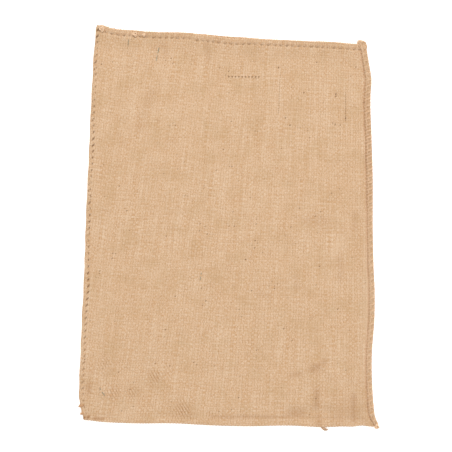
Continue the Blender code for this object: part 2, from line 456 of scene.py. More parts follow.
def soft_noise(x, y, cell, seed):
    """Smooth random values from -1 to 1 over a plane, which change over about one cell."""
    side = 97
    table = np.random.default_rng(seed).uniform(-1, 1, (side, side))
    gx = x / cell
    gy = y / cell
    ix = np.floor(gx).astype(int)
    iy = np.floor(gy).astype(int)
    fx = ease(gx - ix)
    fy = ease(gy - iy)
    lower = table[ix % side, iy % side] * (1 - fx) + table[(ix + 1) % side, iy % side] * fx
    upper = table[ix % side, (iy + 1) % side] * (1 - fx) + table[(ix + 1) % side, (iy + 1) % side] * fx
    return lower * (1 - fy) + upper * fy


def off_line(x, y, ax, ay, bx, by):
    """How far points are from a straight stretch."""
    run = np.array((bx - ax, by - ay))
    length = max(float(run @ run), 1e-12)
    share = np.clip(((x - ax) * run[0] + (y - ay) * run[1]) / length, 0, 1)
    return np.hypot(x - ax - share * run[0], y - ay - share * run[1])


def hem_drift(x):
    """How far the hem's stitches stray from even spacing."""
    return 2.2 * MM * soft_noise(x, 0 * x, 20 * MM, 9)


def from_nearest(value):
    """How far a value is from the nearest whole number."""
    return np.abs(value - np.round(value))


# --- Mesh helpers ---


def new_piece(name, bm, material):
    """A finished piece from a bmesh, at the origin, riding on the sack."""
    mesh = bpy.data.meshes.new(name)
    bm.to_mesh(mesh)
    bm.free()
    piece = bpy.data.objects.new(name, mesh)
    bpy.context.scene.collection.objects.link(piece)
    mesh.shade_smooth()
    mesh.materials.append(material)
    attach(piece, "root")
    return piece


def add_sheet(bm, points, layers):
    """A grid of faces through an array of points, rows by columns, which carries values in named layers."""
    rows, columns, _ = points.shape
    targets = {name: layer_of(bm, name) for name in layers}
    made = bmesh.ops.create_grid(bm, x_segments=columns - 1, y_segments=rows - 1, size=1.0)["verts"]
    flat = points.reshape(-1, 3)
    values = {name: array.reshape(len(flat), -1) for name, array in layers.items()}
    for index, vert in enumerate(made):
        vert.co = flat[index]
        for name, layer in targets.items():
            vert[layer] = values[name][index]
    return made


def layer_of(bm, name):
    """A vector layer on a bmesh's vertices, made when it is missing."""
    layers = bm.verts.layers.float_vector
    return layers.get(name) or layers.new(name)


def path_frames(path):
    """Two directions square to a path at each of its points, turning as little as they can."""
    ahead = np.gradient(path, axis=0)
    ahead /= np.linalg.norm(ahead, axis=1)[:, None]
    first = np.cross(ahead[0], (0.0, 0.0, 1.0))
    if np.linalg.norm(first) < 0.1:
        first = np.cross(ahead[0], (0.0, 1.0, 0.0))
    sides = []
    for way in ahead:
        first = first - way * (first @ way)
        first = first / np.linalg.norm(first)
        sides.append(first)
    sides = np.array(sides)
    return sides, np.cross(ahead, sides)


def add_tube(bm, path, radius, sides=6, tone=0.5):
    """A round tube along a path, closed at both ends. radius is one value or one for each point."""
    path = np.asarray(path, float)
    count = len(path)
    radius = np.broadcast_to(np.asarray(radius, float), count)
    across, over = path_frames(path)
    turn = np.linspace(0, 2 * math.pi, sides + 1)
    ring = across[:, None] * np.cos(turn)[None, :, None] + over[:, None] * np.sin(turn)[None, :, None]
    points = path[:, None] + ring * radius[:, None, None]
    along = np.concatenate([[0.0], np.cumsum(np.linalg.norm(np.diff(path, axis=0), axis=1))])
    fibre = np.stack(np.broadcast_arrays(turn[None, :], along[:, None] / MM, np.float64(tone)), axis=2)
    add_round(bm, points, {"fibre": fibre})


def add_round(bm, points, layers):
    """A closed round from an array of rings, whose last column is made the same as its first."""
    points[:, -1] = points[:, 0]
    made = add_sheet(bm, points, layers)
    rings, columns, _ = points.shape
    seam = [made[row * columns + end] for row in range(rings) for end in (0, columns - 1)]
    bmesh.ops.remove_doubles(bm, verts=seam, dist=1e-7)
    kept = [vert for vert in made if vert.is_valid]
    rims = {edge for vert in kept for edge in vert.link_edges if edge.is_boundary}
    caps = bmesh.ops.holes_fill(bm, edges=sorted(rims, key=lambda edge: edge.index), sides=0)["faces"]
    touched = {face for vert in kept for face in vert.link_faces} | set(caps)
    bmesh.ops.recalc_face_normals(bm, faces=list(touched))


def resample(path, step):
    """A path's points read again at even steps along a smooth curve through them."""
    path = np.asarray(path, float)
    along = np.concatenate([[0.0], np.cumsum(np.linalg.norm(np.diff(path, axis=0), axis=1))])
    count = max(int(along[-1] / step), 4)
    places = np.linspace(0, along[-1], count + 1)
    slopes = np.gradient(path, along, axis=0)
    low = np.clip(np.searchsorted(along, places, side="right") - 1, 0, len(along) - 2)
    span = (along[low + 1] - along[low])[:, None]
    part = (places - along[low])[:, None] / span
    rest = 1 - part
    return (
        path[low] * rest * rest * (1 + 2 * part)
        + path[low + 1] * part * part * (1 + 2 * rest)
        + slopes[low] * span * part * rest * rest
        - slopes[low + 1] * span * rest * part * part
    )


def add_twine(bm, path, thickness, step=0.9 * MM, twist=3.4 * MM, sides=6, taper=0.0, tone=0.5):
    """Two twisted plies along a path. taper is how much of their girth they lose towards the path's end."""
    path = resample(path, step)
    across, over = path_frames(path)
    along = np.arange(len(path)) * step
    girth = 1 - taper * np.linspace(0, 1, len(path)) ** 2
    ply = thickness * 0.29
    for start in (0.0, math.pi):
        angle = start + along * 2 * math.pi / twist
        offset = across * np.cos(angle)[:, None] + over * np.sin(angle)[:, None]
        route = path + offset * (ply * 0.82 * girth)[:, None]
        route[:, 2] = np.maximum(route[:, 2], ply * 1.02)
        add_tube(bm, route, ply * girth, sides, tone)


# --- Materials ---


class Wiring:
    """Adds nodes to one node tree and joins them."""

    def __init__(self, tree):
        self.tree = tree
        self.count = 0

    def add(self, kind, **settings):
        node = self.tree.nodes.new(kind)
        node.location = (180 * (self.count % 12), -220 * (self.count // 12))
        self.count += 1
        for name, value in settings.items():
            setattr(node, name, value)
        return node

    def feed(self, socket, value):
        """Joins a socket to another one, or sets its value."""
        if isinstance(value, bpy.types.NodeSocket):
            self.tree.links.new(value, socket)
        else:
            socket.default_value = value

    def math(self, operation, *values, clamp=False):
        node = self.add("ShaderNodeMath", operation=operation, use_clamp=clamp)
        for socket, value in zip(node.inputs, values):
            self.feed(socket, value)
        return node.outputs[0]

    def times(self, first, second, **settings):
        return self.math("MULTIPLY", first, second, **settings)

    def minus(self, first, second, **settings):
        return self.math("SUBTRACT", first, second, **settings)

    def size(self, value):
        return self.math("ABSOLUTE", value)

    def off_whole(self, value):
        """How far a value is from the nearest whole number, above zero on its far side."""
        return self.minus(value, self.math("ROUND", value))

    def pick(self, share, first, second):
        """A number between two, by share."""
        node = self.add("ShaderNodeMix", data_type="FLOAT")
        for socket, value in zip((node.inputs[0], node.inputs[2], node.inputs[3]), (share, first, second)):
            self.feed(socket, value)
        return node.outputs[0]

    def tint(self, share, first, second):
        """A colour between two, by share."""
        node = self.add("ShaderNodeMix", data_type="RGBA")
        colours = [(*value, 1.0) if isinstance(value, tuple) else value for value in (first, second)]
        for socket, value in zip((node.inputs[0], node.inputs[6], node.inputs[7]), (share, *colours)):
            self.feed(socket, value)
        return node.outputs[2]

    def stain_and_shade(self, share, strength, colour, stained):
        """A colour drawn towards one of the sack's colours by a share of a strength."""
        return self.tint(self.times(share, strength, clamp=True), colour, tuple(stained))

    def soft_step(self, value, low, high):
        """0 below low and 1 above high, or the other way round where low is the higher."""
        node = self.add("ShaderNodeMapRange", interpolation_type="SMOOTHSTEP")
        flipped = low > high
        numbers = (min(low, high), max(low, high), int(flipped), int(not flipped))
        for socket, number in zip(node.inputs, (value, *numbers)):
            self.feed(socket, number)
        return node.outputs[0]

    def noise(self, vector, scale, detail=2.0, roughness=0.5):
        node = self.add("ShaderNodeTexNoise")
        values = {"Vector": vector, "Scale": scale, "Detail": detail, "Roughness": roughness}
        for name, value in values.items():
            self.feed(node.inputs[name], value)
        return node.outputs["Fac"]

    def vector(self, x, y, z=0.0):
        node = self.add("ShaderNodeCombineXYZ")
        for socket, value in zip(node.inputs, (x, y, z)):
            self.feed(socket, value)
        return node.outputs[0]

    def stretched(self, x, by_x, y, by_y, z=0.0):
        """A vector whose x and y are multiplied."""
        return self.vector(self.times(x, by_x), self.times(y, by_y), z)

    def split(self, vector):
        node = self.add("ShaderNodeSeparateXYZ")
        self.feed(node.inputs[0], vector)
        return node.outputs

    def layer(self, name):
        """A value that the piece's mesh carries."""
        return self.add("ShaderNodeAttribute", attribute_name=name).outputs["Vector"]


def new_group(name, inputs, outputs):
    """An empty node group with named inputs and outputs, as its tree, its wiring, and its two end nodes."""
    tree = bpy.data.node_groups.new(name, "ShaderNodeTree")
    for label, kind, value in inputs:
        socket = tree.interface.new_socket(label, in_out="INPUT", socket_type=kind)
        if value is not None:
            socket.default_value = value
    for label, kind in outputs:
        tree.interface.new_socket(label, in_out="OUTPUT", socket_type=kind)
    wiring = Wiring(tree)
    return tree, wiring, wiring.add("NodeGroupInput"), wiring.add("NodeGroupOutput")


def plain_weave():
    """Group: which yarn lies on top at each place of a plain weave, how high, and where the cloth is open.

    Yarns counts the warp yarns along x and the weft yarns along y.
    """
    if "Plain weave" in bpy.data.node_groups:
        return bpy.data.node_groups["Plain weave"]
    inputs = (
        ("Yarns", "NodeSocketVector", None),
        ("Warp cover", "NodeSocketFloat", 0.44),
        ("Weft cover", "NodeSocketFloat", 0.48),
        ("Wander", "NodeSocketFloat", 0.85),
    )
    outputs = (
        ("Height", "NodeSocketFloat"),
        ("Under", "NodeSocketFloat"),
        ("Open", "NodeSocketFloat"),
        ("Yarn tone", "NodeSocketFloat"),
        ("Fibre", "NodeSocketVector"),
    )
    tree, w, start, end = new_group("Plain weave", inputs, outputs)
    yarns, warp_cover, weft_cover, wander = start.outputs[:4]
    u, v, _ = w.split(yarns)
    drift_u = w.noise(w.stretched(u, 0.9, v, 0.14), 1.0, 1.0)
    drift_v = w.noise(w.stretched(u, 0.20, v, 0.9, 7.0), 1.0, 1.0)
    u = w.math("MULTIPLY_ADD", w.minus(drift_u, 0.5), wander, u)
    v = w.math("MULTIPLY_ADD", w.minus(drift_v, 0.5), wander, v)
    end_number = w.math("ROUND", u)
    pick_number = w.math("ROUND", v)
    off_end = w.minus(u, end_number)
    off_pick = w.minus(v, pick_number)
    weft_up = w.math("PINGPONG", w.math("ADD", end_number, pick_number), 1.0)
    across = w.size(w.pick(weft_up, off_end, off_pick))
    along = w.size(w.pick(weft_up, off_pick, off_end))
    number = w.pick(weft_up, end_number, pick_number)
    length = w.pick(weft_up, v, u)
    place = w.math("MULTIPLY_ADD", number, 5.17, w.times(weft_up, 61.3))
    tone = w.noise(w.vector(place, w.times(length, 0.045)), 1.0, 2.0, 0.6)
    variety = w.math("MULTIPLY_ADD", weft_up, -0.6, 1.0)
    tone = w.math("MULTIPLY_ADD", w.minus(tone, 0.5), variety, 0.5)
    stout = w.noise(w.vector(place, w.times(length, 0.35), 3.0), 1.0, 1.0)
    stout = w.math("MULTIPLY_ADD", stout, 0.5, 0.75)
    half = w.times(w.pick(weft_up, warp_cover, weft_cover), stout)
    other_half = w.times(w.pick(weft_up, weft_cover, warp_cover), stout)
    side = w.math("DIVIDE", across, half)
    past_side = w.soft_step(side, 0.85, 1.10)
    past_other = w.soft_step(w.math("DIVIDE", along, other_half), 0.85, 1.10)
    round_top = w.math("SQRT", w.minus(1.0, w.times(side, side), clamp=True))
    crown = w.math("COSINE", w.times(along, math.pi))
    height = w.times(round_top, w.math("MULTIPLY_ADD", crown, 0.45, 0.55))
    w.feed(end.inputs["Height"], height)
    w.feed(end.inputs["Under"], w.times(past_side, w.math("MULTIPLY_ADD", weft_up, -0.55, 1.0)))
    w.feed(end.inputs["Open"], w.times(past_side, past_other))
    w.feed(end.inputs["Yarn tone"], tone)
    fibre_across = w.math("MULTIPLY_ADD", w.pick(weft_up, off_end, off_pick), 2.6, place)
    w.feed(end.inputs["Fibre"], w.vector(fibre_across, w.times(length, 2.6)))
    return tree


def jute_fibre():
    """Group: the streaks of fibre along a yarn. Fibre runs across the yarn along x and along it along y, in
    millimetres, and Twist slants the streaks."""
    if "Jute fibre" in bpy.data.node_groups:
        return bpy.data.node_groups["Jute fibre"]
    inputs = (("Fibre", "NodeSocketVector", None), ("Twist", "NodeSocketFloat", 0.35))
    outputs = (("Tone", "NodeSocketFloat"), ("Speck", "NodeSocketFloat"), ("Height", "NodeSocketFloat"))
    tree, w, start, end = new_group("Jute fibre", inputs, outputs)
    fibre, twist = start.outputs[:2]
    x, y, z = w.split(fibre)
    slanted = w.math("MULTIPLY_ADD", y, twist, x)
    fine = w.noise(w.stretched(slanted, 5.0, y, 0.7, z), 1.0, 3.0, 0.6)
    broad = w.noise(w.stretched(slanted, 0.8, y, 0.35, 4.0), 1.0, 2.0)
    speck = w.noise(w.vector(x, w.times(y, 0.5), 11.0), 1.3, 1.0)
    w.feed(end.inputs["Tone"], w.math("MULTIPLY_ADD", fine, 0.55, w.times(broad, 0.45)))
    w.feed(end.inputs["Speck"], w.soft_step(speck, 0.66, 0.76))
    w.feed(end.inputs["Height"], fine)
    return tree


def group_node(wiring, tree, **values):
    """A group placed in a material, with its inputs by name."""
    node = wiring.add("ShaderNodeGroup", node_tree=tree)
    for name, value in values.items():
        wiring.feed(node.inputs[name.replace("_", " ")], value)
    return node.outputs


def new_material(name, colour):
    """A material with a Principled BSDF, as the material, its wiring and the shader."""
    material = bpy.data.materials.new(name)
    material.use_nodes = True
    material.diffuse_color = (*colour, 1.0)
    shader = material.node_tree.nodes["Principled BSDF"]
    shader.inputs["Roughness"].default_value = 0.9
    shader.inputs["Specular IOR Level"].default_value = 0.18
    return material, Wiring(material.node_tree), shader


def finish_jute(w, shader, colour, roughness, height, depth):
    """Joins a jute material's colour, roughness and relief to its shader."""
    w.feed(shader.inputs["Base Color"], colour)
    w.feed(shader.inputs["Roughness"], roughness)
    relief = w.add("ShaderNodeBump")
    relief.inputs["Strength"].default_value = 0.6
    relief.inputs["Distance"].default_value = depth
    w.feed(relief.inputs["Height"], height)
    w.feed(shader.inputs["Normal"], relief.outputs["Normal"])
    shader.inputs["Sheen Weight"].default_value = 0.08
    shader.inputs["Sheen Roughness"].default_value = 0.6


def woven_colour(w, colours, yarns, cover):
    """The colour and height of hessian at its yarn numbers, with shade painted on the lower yarns and in the
    gaps between them.
    """
    weave = group_node(w, plain_weave(), Yarns=yarns, Warp_cover=cover, Weft_cover=cover + 0.03)
    fibre = group_node(w, jute_fibre(), Fibre=weave["Fibre"])
    u, v, _ = w.split(yarns)
    crossing = w.noise(w.stretched(u, 4.0, v, 1.25), 1.0, 2.0, 0.7)
    tone = w.math("MULTIPLY_ADD", weave["Yarn tone"], 2.3, w.times(crossing, 4.2))
    tone = w.math("MULTIPLY_ADD", fibre["Tone"], 0.6, w.minus(tone, 3.05), clamp=True)
    colour = w.tint(tone, tuple(colours.straw), tuple(colours.pale))
    patch = w.noise(yarns, 0.11, 4.0, 0.65)
    colour = w.stain_and_shade(w.soft_step(patch, 0.42, 0.75), 0.45, colour, colours.ochre)
    peach = w.noise(w.vector(w.times(u, 2.4), v, 31.0), 0.8, 3.0, 0.75)
    colour = w.stain_and_shade(w.soft_step(peach, 0.56, 0.72), 0.55, colour, colours.rust)
    colour = w.stain_and_shade(fibre["Speck"], 0.40, colour, colours.rust)
    # Painted shade on the lower yarn where it dips under the upper one, and in the open gaps between the
    # yarns
    colour = w.stain_and_shade(weave["Under"], 0.42, colour, colours.shade)
    colour = w.stain_and_shade(weave["Open"], 0.60, colour, colours.shade)
    height = w.math("MULTIPLY_ADD", fibre["Height"], 0.25, weave["Height"])
    return colour, height


def hessian(colours):
    """The sack's cloth, with its slipped yarns and the marks that its sewing leaves in it. Shade is painted
    into its holes, gaps, creases and the sewing's dents, and light beside the right seam.
    """
    material, w, shader = new_material("Hessian", colours.straw)
    sewing = bpy.context.scene.sack_sewing
    colour, height = woven_colour(w, colours, w.layer("yarns"), 0.44)
    along_hem, hollow, _ = w.split(w.layer("marks"))
    gone = w.soft_step(hollow, 0.12, 0.75)
    # Painted shade where the weave is open: the slips, the chance gaps and the crescent below each knot
    colour = w.stain_and_shade(gone, 0.92, colour, colours.hole)
    off_dash, from_mouth, from_fold = w.split(w.layer("edges"))
    stain_and_shade, drag, faded_and_lit = w.split(w.layer("patches"))
    # Pale marks; the long one beside the right seam is painted light that lifts the roll's shade
    colour = w.stain_and_shade(faded_and_lit, 1.0, colour, colours.pale)
    # Brown stains, with painted shade in the troughs, the crease above the fold and the slit at the right
    # seam's foot
    colour = w.stain_and_shade(stain_and_shade, 1.25, colour, colours.shade)
    colour = w.stain_and_shade(w.times(drag_lines(w), drag), 0.75, colour, colours.shade)
    # Painted shade in the needle holes, which the mesh doesn't open
    colour = w.stain_and_shade(needle_holes(w), 0.72, colour, colours.hole)
    # Painted shade in the dents of the left seam's stitches
    dash = seam_dashes(w, off_dash, from_fold, sewing.seam_pitch / MM)
    colour = w.stain_and_shade(dash, 0.78, colour, colours.hole)
    # Painted shade in the dents under the hem and along its edge
    bite = hem_bites(w, from_mouth, along_hem, sewing.hem_pitch / MM)
    colour = w.stain_and_shade(bite, 0.50, colour, colours.hole)
    height = w.minus(height, w.math("ADD", gone, w.math("ADD", dash, bite)))
    finish_jute(w, shader, colour, w.pick(height, 0.96, 0.82), height, 0.00035)
    return material


def drag_lines(w):
    """Fine parallel lines down to the right."""
    x, y, _ = w.split(w.add("ShaderNodeTexCoord").outputs["Object"])
    bend = w.noise(w.vector(x, y), 60.0, 1.0)
    place = w.math("MULTIPLY_ADD", x, 305.0, w.math("MULTIPLY_ADD", y, 187.0, bend))
    wave = w.math("COSINE", w.times(place, 2 * math.pi))
    return w.soft_step(wave, 0.1, 0.9)


def needle_holes(w):
    """A row of needle holes, evenly spaced, as the mask for their painted shade."""
    ax, ay, bx, by, pitch = HOLE_ROW
    x, y, _ = w.split(w.add("ShaderNodeTexCoord").outputs["Object"])
    along = w.math("DIVIDE", w.minus(x, ax), pitch)
    line = w.math("MULTIPLY_ADD", along, (by - ay) / (bx - ax) * pitch, ay)
    across = w.math("DIVIDE", w.minus(y, line), pitch)
    beside = w.off_whole(along)
    apart = w.math("SQRT", w.math("ADD", w.times(beside, beside), w.times(across, across)))
    last = (bx - ax) / pitch
    in_row = w.times(w.soft_step(along, -0.5, -0.4), w.soft_step(along, last + 0.5, last + 0.4))
    return w.times(w.soft_step(apart, 0.36, 0.16), in_row)


def seam_dashes(w, off, from_fold, pitch):
    """Short slanting dents beside the left edge, one for each seam stitch, as the mask for their painted
    shade. Distances are in millimetres.
    """
    count = w.math("DIVIDE", w.math("MULTIPLY_ADD", off, -0.9, from_fold), pitch)
    beside = w.times(w.size(w.off_whole(count)), pitch)
    depth = w.pick(w.soft_step(from_fold, 60.0, 170.0), 0.6, 1.0)
    across = w.times(w.soft_step(w.size(off), 1.9, 0.8), depth)
    return w.times(w.soft_step(beside, 1.65, 0.5), across)


def hem_bites(w, from_mouth, along_hem, pitch):
    """Curved dents under the hem, one for each hem stitch, joined by a fainter line, as the mask for their
    painted shade. All in millimetres.
    """
    count = w.math("DIVIDE", along_hem, pitch)
    beside = w.times(w.off_whole(count), pitch)
    bow = w.times(w.times(beside, beside), 0.34)
    off = w.size(w.minus(w.math("ADD", from_mouth, bow), 7.0))
    crescent = w.times(w.soft_step(w.size(beside), 2.9, 1.5), w.soft_step(off, 0.95, 0.3))
    line = w.times(w.soft_step(w.size(w.minus(from_mouth, 6.2)), 0.9, 0.2), 0.45)
    uneven = w.noise(w.vector(w.times(along_hem, 0.11), 0.0), 1.0, 2.0, 0.7)
    return w.times(w.math("MAXIMUM", crescent, line), w.soft_step(uneven, 0.25, 0.65))


def rolled_edge(colours):
    """The rolled cloth edge inside a side seam."""
    material, w, shader = new_material("Rolled hessian edge", colours.pale)
    colour, height = woven_colour(w, colours, w.layer("yarns"), 0.46)
    pinch, tick, _ = w.split(w.layer("marks"))
    # Painted shade where the stitches pinch the roll
    colour = w.stain_and_shade(pinch, 0.20, colour, colours.hole)
    colour = w.stain_and_shade(tick, 0.50, colour, colours.shade)
    finish_jute(w, shader, colour, w.pick(height, 0.96, 0.82), height, 0.00035)
    return material


def sewing_twine(colours):
    """Two-ply jute twine."""
    material, w, shader = new_material("Jute sewing twine", colours.pale)
    around, along, tone = w.split(w.layer("fibre"))
    fibre = group_node(w, jute_fibre(), Fibre=w.vector(w.math("COSINE", around), along), Twist=0.25)
    colour = w.tint(fibre["Tone"], tuple(colours.straw), tuple(colours.pale))
    colour = w.stain_and_shade(w.soft_step(tone, 0.55, 1.0), 1.0, colour, colours.rust)
    colour = w.stain_and_shade(fibre["Speck"], 0.4, colour, colours.rust)
    # Twine of low tone, as in the knots and partly in the right seam's stitches, is drawn paler
    paler_twine = tuple(value * 1.14 for value in colours.pale)
    colour = w.tint(w.soft_step(tone, 0.4, 0.1), colour, paler_twine)
    finish_jute(w, shader, colour, w.pick(fibre["Height"], 0.95, 0.8), fibre["Height"], 0.00015)
    return material


def loose_fibre(colours):
    """Fine stray fibres, each of its own tone."""
    material, w, shader = new_material("Loose jute fibre", colours.pale)
    _, along, tone = w.split(w.layer("fibre"))
    grain = w.noise(w.vector(along, tone), 0.8, 2.0)
    colour = w.tint(tone, tuple(colours.pale), tuple(colours.rust))
    colour = w.stain_and_shade(grain, 0.5, colour, colours.straw)
    finish_jute(w, shader, colour, w.pick(grain, 0.75, 0.95), grain, 0.00005)
    return material


def dyed_fibre(colours):
    """Blue-grey fibres spun in by chance."""
    material, w, shader = new_material("Dyed fibre", colours.dye)
    _, along, tone = w.split(w.layer("fibre"))
    grain = w.noise(w.vector(along, tone), 1.4, 2.0)
    colour = w.tint(w.soft_step(grain, 0.45, 0.75), tuple(colours.dye), tuple(colours.ochre))
    finish_jute(w, shader, colour, w.pick(grain, 0.8, 0.95), grain, 0.00005)
    return material


FLOOR_GLOW = 0.50  # light of its own, so that the floor stays white where the sack shades it


def floor_finish(colours):
    """A plain matt floor with the faintest unevenness."""
    material, w, shader = new_material("Pale floor", colours.floor)
    place = w.add("ShaderNodeTexCoord").outputs["Object"]
    grain = w.noise(place, 6.0, 2.0)
    paler = tuple(min(value * 1.02, 1.0) for value in colours.floor)
    w.feed(shader.inputs["Base Color"], w.tint(grain, tuple(colours.floor), paler))
    w.feed(shader.inputs["Roughness"], w.pick(grain, 0.85, 0.95))
    shader.inputs["Emission Color"].default_value = (1.0, 1.0, 1.0, 1.0)
    shader.inputs["Emission Strength"].default_value = FLOOR_GLOW
    return material


# --- The cloth ---


FOLD_REACH = 1.65 * MM  # how far the bottom fold's bend reaches in from its edge
MOUTH_REACH = 1.2 * MM  # how far the mouth's bend reaches in from its edge
PICK_PITCH = 2.5 * MM
BACK_ROWS = 40
BEND_ROWS = 7
HEM_ROWS = 4
FIRST_END = -62
LAST_END = 57
SIDE_TUCK = 1.6 * MM  # how far the cloth runs into the right seam's roll
WRAP = 2.9  # how far the front wraps round the left edge, in radians
GROOVE = 1.1 * MM  # depth of the groove beside the right seam


def strip_rows(picks):
    """The strip's rows, from the back's raw edge round the fold to the front's: each its part and share."""
    rows = [("back hem", share) for share in np.linspace(0, 1, HEM_ROWS, endpoint=False)]
    rows += [("back mouth", share) for share in np.linspace(0, 1, BEND_ROWS, endpoint=False)]
    rows += [("back", share) for share in np.linspace(0, 1, BACK_ROWS, endpoint=False)]
    rows += [("fold", share) for share in np.linspace(0, 1, BEND_ROWS, endpoint=False)]
    rows += [("front", share) for share in np.linspace(0, 1, 2 * picks, endpoint=False)]
    rows += [("front mouth", share) for share in np.linspace(0, 1, BEND_ROWS, endpoint=False)]
    rows += [("front hem", share) for share in np.linspace(0, 1, HEM_ROWS)]
    return rows


def row_place(shape, part, share, x, sizes):
    """Where one row of the strip lies at each x: its y, its z and its pick number."""
    inset = sizes.inset
    bend = MOUTH_REACH - inset
    turn_picks = math.pi * bend / PICK_PITCH
    fold_picks = math.pi * (FOLD_REACH - inset) / PICK_PITCH
    foot = shape.fold(x) + FOLD_REACH
    if part.startswith("back"):
        mouth = shape.back_mouth(x) - MOUTH_REACH
        if part == "back hem":
            picks = -fold_picks - sizes.picks - turn_picks
            return mouth - (1 - share) * sizes.hem, inset + 2 * bend + 0 * x, picks
        if part == "back mouth":
            angle = math.pi * share
            picks = -fold_picks - sizes.picks - turn_picks * (1 - share)
            return mouth + bend * math.sin(angle), inset + bend * (1 + math.cos(angle)) + 0 * x, picks
        return mouth + share * (foot - mouth), inset + 0 * x, -fold_picks - sizes.picks * (1 - share)
    if part == "fold":
        front = shape.top(x, foot) - inset
        half = (front - inset) / 2
        angle = math.pi * share
        return foot - half * math.sin(angle), inset + half * (1 - math.cos(angle)), -fold_picks * (1 - share)
    mouth = shape.front_mouth(x) - MOUTH_REACH
    crest = shape.top(x, mouth) - inset
    if part == "front":
        y = foot + share * (mouth - foot)
        return y, shape.top(x, y) - inset, sizes.picks * share
    if part == "front mouth":
        angle = math.pi * share
        picks = sizes.picks + turn_picks * share
        return mouth + bend * math.sin(angle), crest - bend * (1 - math.cos(angle)), picks
    hem_picks = share * sizes.hem / PICK_PITCH
    return mouth - share * sizes.hem, crest - 2 * bend, sizes.picks + turn_picks + hem_picks


def tuck_sides(shape, part, x, y, z, inset):
    """The row with its left end wrapped round the sack's edge and its right end run into the seam."""
    edge = shape.left_edge(y)
    if part == "front":
        height = shape.top(edge + 2 * MM, y) - inset
        radius = (height - 0.3 * MM) / 2
        axis = edge + radius + 0.1 * MM
        angle = np.clip((axis - x) / radius, 0, WRAP)
        wrapped = x < axis
        x = np.where(wrapped, axis - radius * np.sin(angle), x)
        z = np.where(wrapped, height - radius * (1 - np.cos(angle)), z)
        gone = angle >= WRAP
    else:
        gone = x < edge + MM
        x = np.maximum(x, edge + MM)
    inner, _ = shape.right_seam(y)
    if part == "front":
        z = z - GROOVE * ease((x - inner + 1.0 * MM) / (0.9 * MM))
    gone = gone | (x > inner + SIDE_TUCK)
    return np.minimum(x, inner + SIDE_TUCK), z, gone


def cloth_marks(x, y, ends, picks, front):
    """How open the weave is at each place, from the list of slips and from chance, and a dent with painted
    shadow in a crescent below each knot.
    """
    corner = bump(from_nearest(ends) - 0.5, 0.25)
    gap = corner * (0.45 + 0.55 * bump(from_nearest(picks) - 0.5, 0.25))
    hollow = np.zeros_like(x)
    for ax, ay, bx, by, reach, strength in SLIPS:
        near = ease(1.6 - off_line(x, y, ax, ay, bx, by) / reach)
        hollow = np.maximum(hollow, near * strength * (0.12 + 0.88 * gap))
    # A dent with painted shadow in a crescent below each knot
    for kx, ky, across, _ in KNOTS:
        ring = bump(np.hypot(x - kx, y - ky) - 0.5 * across - 0.3 * MM, 0.8 * MM)
        hollow = np.maximum(hollow, 0.36 * ring * ease(0.5 - (y - ky + 0.3 * (x - kx)) / across))
    chance = soft_noise(ends * 2, picks * 2, 1.0, 11)
    loose = ease((soft_noise(ends, picks, 4.0, 12) + 0.4) / 1.2)
    scattered = ease((chance - 0.80) / 0.2) * gap * loose * 0.75
    return np.where(front, np.maximum(hollow, scattered), 0.0)


def make_cloth(shape, sizes, sewing):
    """The hessian strip's points and the values that they carry."""
    ends = np.arange(2 * FIRST_END, 2 * LAST_END + 1) / 2
    base = ends * sizes.end_pitch
    lean = np.interp(base, *zip(*LEANS))
    rows = strip_rows(sizes.picks)
    points, picks, gone, front = [], [], [], []
    for part, share in rows:
        x = base
        for _ in range(3):
            y, z, pick = row_place(shape, part, share, x, sizes)
            x = base + lean * y
        wander = 0.35 * MM * soft_noise(ends, np.full_like(ends, pick), 9.0, 3)
        x = x + wander
        x, z, lost = tuck_sides(shape, part, x, y, z, sizes.inset)
        points.append(np.stack([x, y, z], axis=1))
        picks.append(np.full_like(ends, pick))
        gone.append(lost)
        front.append(np.full(len(ends), part == "front"))
    points, picks, gone, front = (np.array(part) for part in (points, picks, gone, front))
    ends = np.broadcast_to(ends, picks.shape)
    kinds = np.array([part for part, _ in rows])[:, None]
    return finish_cloth(shape, sizes, sewing, points, ends, picks, gone, front, kinds)


